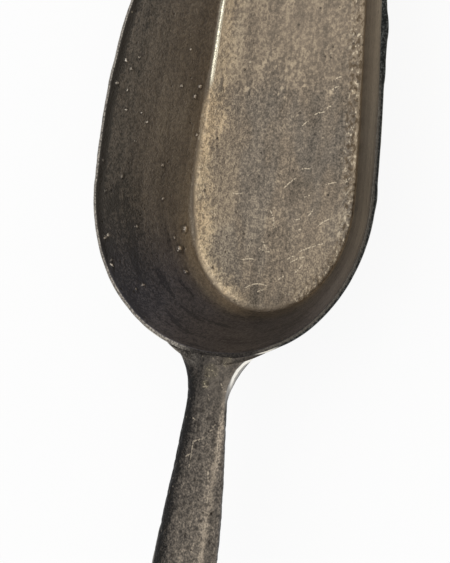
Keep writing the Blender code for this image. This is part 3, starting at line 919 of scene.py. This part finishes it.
def wallAt(x, z, through):
    # the back wall's point at a place across and a height
    low, high = 0.0, math.pi / 2
    for step in range(pan["wallSearch"]):
        angle = (low + high) / 2
        station = backStation(angle)
        rise = z - pan["wall"] + through * math.sin(station.lean)
        cornerRise = station.corner * (1 - math.cos(station.turn))
        climb = station.corner * station.turn + (rise - cornerRise) / math.cos(station.lean)
        place = sectionPoint(station, climb, through)
        if place.x < abs(x):
            low = angle
        else:
            high = angle
    return Vector((x, place.y, z))


def oval(share, power=grip["sectionPower"]):
    return max(1 - abs(share) ** power, 0.0) ** (1 / power)


def ringAngles():
    return [2 * math.pi * point / grip["ringPoints"] for point in range(grip["ringPoints"] + 1)]


def gripRing(way, shrinkWidth=1.0, shrinkHeight=1.0):
    share = min(max((way - grip["neckBack"]) / grip["reach"], 0.0), 1.0)
    swell = math.sin(math.pi / 2 * share) ** grip["swellPower"]
    half = (grip["neckWidth"] + (grip["width"] - grip["neckWidth"]) * swell) / 2
    thick = (grip["neckThick"] + (grip["thick"] - grip["neckThick"]) * swell) / 2
    tilt = way / grip["sweep"]
    top = grip["rimBack"] + grip["sweep"] * Vector((0.0, -math.sin(tilt), 1 - math.cos(tilt)))
    up = Vector((0.0, math.sin(tilt), math.cos(tilt)))
    ring = []
    for angle in ringAngles():
        across = math.cos(angle)
        height = math.copysign(oval(across), math.sin(angle)) * shrinkHeight - 1
        ring.append(top + Vector((half * across * shrinkWidth, 0, 0)) + up * thick * height)
    return ring


def footOutline(angle):
    across = math.cos(angle)
    above = math.sin(angle) >= 0
    power, reach = ("flangePower", grip["footFlange"]) if above else ("tonguePower", -grip["footDepth"])
    height = oval(across, grip[power]) * reach
    return Vector((grip["footWidth"] / 2 * across, grip["top"] - grip["footFlange"] + height))


def footEdge(angle):
    return grip["footTipEdge"] + (grip["footEdge"] - grip["footTipEdge"]) * math.sin(angle) ** 2


def gripRings():
    centre = Vector((0.0, grip["top"] - grip["footFlange"] - grip["footDepth"] / 4))
    rings = []
    for step in range(grip["seatRings"] + 1):
        spread = [centre.lerp(footOutline(angle), step / grip["seatRings"]) for angle in ringAngles()]
        rings.append([wallAt(place.x, place.y, grip["seat"]) for place in spread])
    neck = gripRing(grip["neckBack"])
    flare = []
    for angle, end in zip(ringAngles(), neck):
        foot = footOutline(angle)
        stand = pan["wall"] + footEdge(angle)
        start = wallAt(foot.x, foot.y, stand)
        bend = wallAt(end.x, end.z, stand)
        flare.append((start, bend.lerp((start + end) / 2, grip["brace"] * max(-math.sin(angle), 0.0)), end))
    for step in range(grip["flareRings"]):
        share = step / grip["flareRings"]
        ring = [start.lerp(bend, share).lerp(bend.lerp(end, share), share) for start, bend, end in flare]
        rings.append(ring)
    straight = grip["length"] - grip["endRound"]
    for step in range(grip["gripRings"] + 1):
        rings.append(gripRing(grip["neckBack"] + (straight - grip["neckBack"]) * step / grip["gripRings"]))
    for step in range(1, grip["endRings"] + 1):
        angle = math.pi / 2 * step / grip["endRings"]
        shrink = math.cos(angle)
        rings.append(gripRing(straight + grip["endRound"] * math.sin(angle), shrink, math.sqrt(abs(shrink))))
    return rings


def buildGrip():
    grip["rimBack"] = wallAt(0.0, grip["top"], pan["wall"])
    rings = gripRings()
    bm = bmesh.new()
    bmesh.ops.create_grid(bm, x_segments=grip["ringPoints"], y_segments=len(rings) - 1, size=1.0)
    across, upper, dirt, gleam = map(bm.verts.layers.float.new, grip["layers"])
    angles = ringAngles()
    for vert in bm.verts:
        point = gridStep(vert.co.x, grip["ringPoints"])
        vert.co = rings[gridStep(vert.co.y, len(rings) - 1)][point]
        vert[across] = math.cos(angles[point])
        vert[upper] = math.sin(angles[point])
    closeMesh(bm)
    bm.normal_update()
    for vert in bm.verts:
        vert.co += vert.normal * waves(vert.co, grip["waves"]) * grip["wobble"]
    near = vertTree(bm)
    surface = BVHTree.FromBMesh(bm)
    pitGrip(bm, near, surface, dirt)
    paintFlareGleam(bm, near, surface, gleam)
    findMarks(surface)
    bm.normal_update()
    return bm


def dent(bm, near, dirt, spot, reach, depth):
    for place, index, distance in near.find_range(spot, reach):
        vert = bm.verts[index]
        hollow = (1 - (distance / reach) ** 2) ** 2
        vert.co -= vert.normal * depth * hollow
        vert[dirt] = max(vert[dirt], hollow * depth / grip["pitDepth"])


def pitGrip(bm, near, surface, dirt):
    dice = random.Random(grip["pitSeed"])
    pitted = [vert.index for vert in bm.verts if vert.co.y < grip["rimBack"].y - grip["pitStart"]]
    for pit in range(grip["pits"]):
        spot = bm.verts[dice.choice(pitted)].co.copy()
        reach = dice.uniform(*grip["pitRadius"])
        dent(bm, near, dirt, spot, reach, dice.uniform(*grip["pitShare"]) * grip["pitDepth"])
    for px, py, reach, depth in grip["nicks"]:
        dent(bm, near, dirt, seenSpot(surface, px, py), reach / perMetre, depth / perMetre)


# painted highlight along the flare's right edge, kept per vertex
def paintFlareGleam(bm, near, surface, gleam):
    reach = grip["gleamReach"] / perMetre
    legs = list(zip(grip["gleam"], grip["gleam"][1:]))
    for leg, (start, end) in enumerate(legs):
        for step in range(grip["gleamSteps"]):
            share = step / grip["gleamSteps"]
            px, py = Vector(start).lerp(Vector(end), share)
            spot = seenSpot(surface, px, py)
            level = min((1 - (leg + share) / len(legs)) / grip["gleamFade"], 1.0)
            for place, index, distance in near.find_range(spot, reach) if spot else ():
                glow = level * (1 - (distance / reach) ** 2)
                bm.verts[index][gleam] = max(bm.verts[index][gleam], glow)


def findMarks(surface):
    grip["runSpots"] = [(seenSpot(surface, px, py), reach / perMetre) for px, py, reach in grip["runs"]]
    grip["scrapeEnds"] = []
    for x0, y0, x1, y1 in grip["scrapes"]:
        grip["scrapeEnds"].append((seenSpot(surface, x0, y0), seenSpot(surface, x1, y1)))


def scrapeLines(vector):
    lines = 0.0
    for start, end in grip["scrapeEnds"]:
        way = end - start
        arm = vectorCalc("SUBTRACT", vector, start)
        ahead = vectorCalc("DOT_PRODUCT", arm, way / way.length_squared)
        ahead = calc("MINIMUM", most(ahead, 0.0), 1.0)
        off = vectorCalc("DISTANCE", arm, vectorCalc("MULTIPLY", ahead, way))
        lines = most(lines, fade(off, *grip["scrapeWidth"]))
    return lines


def runLook(spot, colour):
    # filler that ran over the neck
    ranOver = 0.0
    for centre, reach in grip["runSpots"]:
        away = vectorCalc("DISTANCE", spot, centre)
        ranOver = most(ranOver, fade(away, reach, reach * grip["runCore"]))
    brassy = both((grain(spot, 0.0008, 2.0, (1, 1, 1), 0.45), 0.55, 0.68), ranOver)
    colour = tint(both(ranOver, 0.3), colour, grip["runDirt"])
    return tint(both(brassy, 0.85), colour, grip["runBrass"])


def castGrip():
    material, shader, spot = newMetal("castGrip")
    across, upper, dirt, gleam = map(attribute, grip["layers"])
    place = put("SeparateXYZ", {"Vector": spot})
    x, y = place.outputs["X"], place.outputs["Y"]
    blotch = grain(spot, 0.014, 3.0, (1, 0.6, 1), 0.2)
    patch = fade(grain(spot, 0.0045, 2.0, (1, 0.6, 1), 0.5), 0.36, 0.64)
    fine = fade(grain(spot, 0.0005, 1.0, (1, 0.85, 1), 0.1), 0.3, 0.7)
    fleck = fade(grain(spot, 0.001, 2.0, (1, 0.75, 1), 0.3), 0.34, 0.66)
    streak = grain(spot, 0.0014, 2.0, (1, 0.05, 1), 0.4)
    worm = both(worms(spot, 0.0036, 0.03, shift=0.7), fleck)
    pits = spots(spot, 0.0024, 0.5, 0.24, 0.3, (1, 1, 1), 0.6)
    specks = spots(spot, 0.0016, 0.4, 0.2, 0.6, (1, 0.7, 1), 0.8)

    # painted highlight along a ridge on the right of the top, lighter toward it; painted shade down both
    # sides; darker at the neck
    onTop = fade(upper, -0.1, 0.2)
    crestSheen = both(band(x, 0.0042, 0.006, 0.0066, 0.0079), onTop, (y, -0.085, -0.099, 0.1, 1.0))
    ridgeSheen = both(band(x, 0.0054, 0.0062, 0.0066, 0.0074), crestSheen)
    toRight = both((x, -0.008, 0.006), onTop)
    leftSideShade = both((across, -0.26, -0.86), (y, -0.079, -0.09), (upper, 0.02, 0.2))
    rightSideShade = most(fade(x, 0.007, 0.008), fade(upper, 0.1, -0.1))
    atNeck = fade(y, -0.118, -0.092)
    atRim = fade(y, -0.082, -0.074)
    neckRight = both((x, -0.003, 0.004), onTop, atNeck)
    calm = fade(y, -0.1, -0.087)
    calmGrain = both(calm, addUp(-0.13, (fine, 0.18), (fleck, 0.11)))
    worn = addUp(-0.29, (calmGrain, -1.0), (blotch, 0.22), (patch, 0.06), (fine, 0.36), (fleck, 0.22),
                 (worm, 0.12), (streak, 0.42), (crestSheen, 0.16), (ridgeSheen, 0.17), (toRight, 0.22),
                 (leftSideShade, -0.54), (rightSideShade, -0.1), (atNeck, -0.23), (atRim, -0.1), (neckRight, 0.17))
    colour = ramp(worn, *grip["tones"])
    colour = tint(both(most(pits, dirt), 0.7), colour, grip["pitDirt"])
    shine = both(specks, addUp(0.35, (crestSheen, 0.5)))
    scraped = both(scrapeLines(spot), (fine, 0.1, 0.8, 0.1, 0.7))
    colour = tint(most(shine, scraped), colour, grip["speckTone"])

    # painted light on the left of the flare, where it mirrors dark, and painted highlights along its right
    # edge
    leftFlareLight = both((x, -0.001, -0.005), (y, -0.083, -0.0795), (upper, -0.3, 0.0), (fine, 0, 1, 0.15, 0.4))
    colour = tint(leftFlareLight, colour, grip["leftFlareLightTone"])
    leftTipLight = both((x, -0.0085, -0.01), (upper, 0.1, 0.4))
    colour = tint(leftTipLight, colour, grip["leftTipLightTone"])
    flareEdgeHighlight = both((across, 0.8, 0.9), band(upper, -0.45, -0.28, 0.05, 0.25), (y, -0.094, -0.086))
    colour = tint(flareEdgeHighlight, colour, grip["flareEdgeHighlightTone"])
    # painted highlight along the flare's edge
    colour = tint(fade(gleam, 0.05, 0.7), colour, grip["gleamTone"])
    colour = runLook(spot, colour)

    roughness = addUp(0.52, (fine, -0.06), (crestSheen, -0.08))
    height = addUp(0.0, (fine, 0.3), (fleck, 0.3), (pits, -1.0), (specks, 0.4))
    finishMetal(shader, colour, roughness, height, grip["bumpDepth"])
    return material


addPiece("scoopGrip", buildGrip(), castGrip(), "handle")

# Braze bead: a rippled lobe round the foot's lower edge

bead = {
    "leg": 0.8,  # share of the foot's edge
    "sectionPoints": 14,
    "steps": 150,
    "ripple": 0.14,
    "ripples": 26,
    "wander": 0.12,  # uneven share on top of the ripples
    "wanderWaves": 30,
    "endTurn": math.radians(7.5),  # short of the foot's ends
    "endTaper": 6,  # how steeply it thins out there
    "centre": (0.28, 0.22),  # in legs: away from the foot, off the wall
    "radius": 0.66,
    "endLeg": 0.02,  # share of the leg that is left at the ends
    "tangentStep": 0.01,
    # finish
    "tones": ((0.1, (0.1, 0.085, 0.06)), (0.5, (0.26, 0.195, 0.115)), (0.9, (0.42, 0.32, 0.18))),
    "soot": (0.04, 0.036, 0.03, 1.0),
    "bumpDepth": 0.00012,
}


def buildBead():
    bm = bmesh.new()
    bmesh.ops.create_grid(bm, x_segments=bead["sectionPoints"], y_segments=bead["steps"], size=1.0)
    turn, step = bead["endTurn"], bead["tangentStep"]
    besideFoot, offWall = bead["centre"]
    for vert in bm.verts:
        roll = math.pi * (vert.co.x + 1)
        share = (vert.co.y + 1) / 2
        angle = math.pi + turn + (math.pi - 2 * turn) * share
        along = (footOutline(angle + step) - footOutline(angle - step)).normalized()
        away = Vector((along.y, -along.x))
        wave = 1 + bead["ripple"] * math.sin(2 * math.pi * bead["ripples"] * share)
        wave += bead["wander"] * noise.noise(Vector((share * bead["wanderWaves"], 0, 0)))
        taper = min(math.sin(math.pi * share) * bead["endTaper"], 1.0)
        leg = bead["leg"] * footEdge(angle) * wave * max(taper, bead["endLeg"])
        place = footOutline(angle) + away * leg * (besideFoot + bead["radius"] * math.cos(roll))
        vert.co = wallAt(place.x, place.y, pan["wall"] + leg * (offWall + bead["radius"] * math.sin(roll)))
    closeMesh(bm)
    return bm


def brazedFiller():
    material, shader, spot = newMetal("brazedFiller")
    patch = grain(spot, 0.003, 3.0)
    fine = grain(spot, 0.0007, 2.0, shift=0.2)
    soot = spots(spot, 0.0018, 0.4, 0.3, 0.4)
    worn = addUp(-0.1, (patch, 0.7), (fine, 0.5))
    colour = ramp(worn, *bead["tones"])
    colour = tint(both(soot, 0.7), colour, bead["soot"])
    roughness = addUp(0.55, (fine, -0.15))
    height = addUp(0.0, (fine, 0.7), (soot, -0.6))
    finishMetal(shader, colour, roughness, height, bead["bumpDepth"])
    return material


addPiece("brazeBead", buildBead(), brazedFiller(), "braze_fillet")
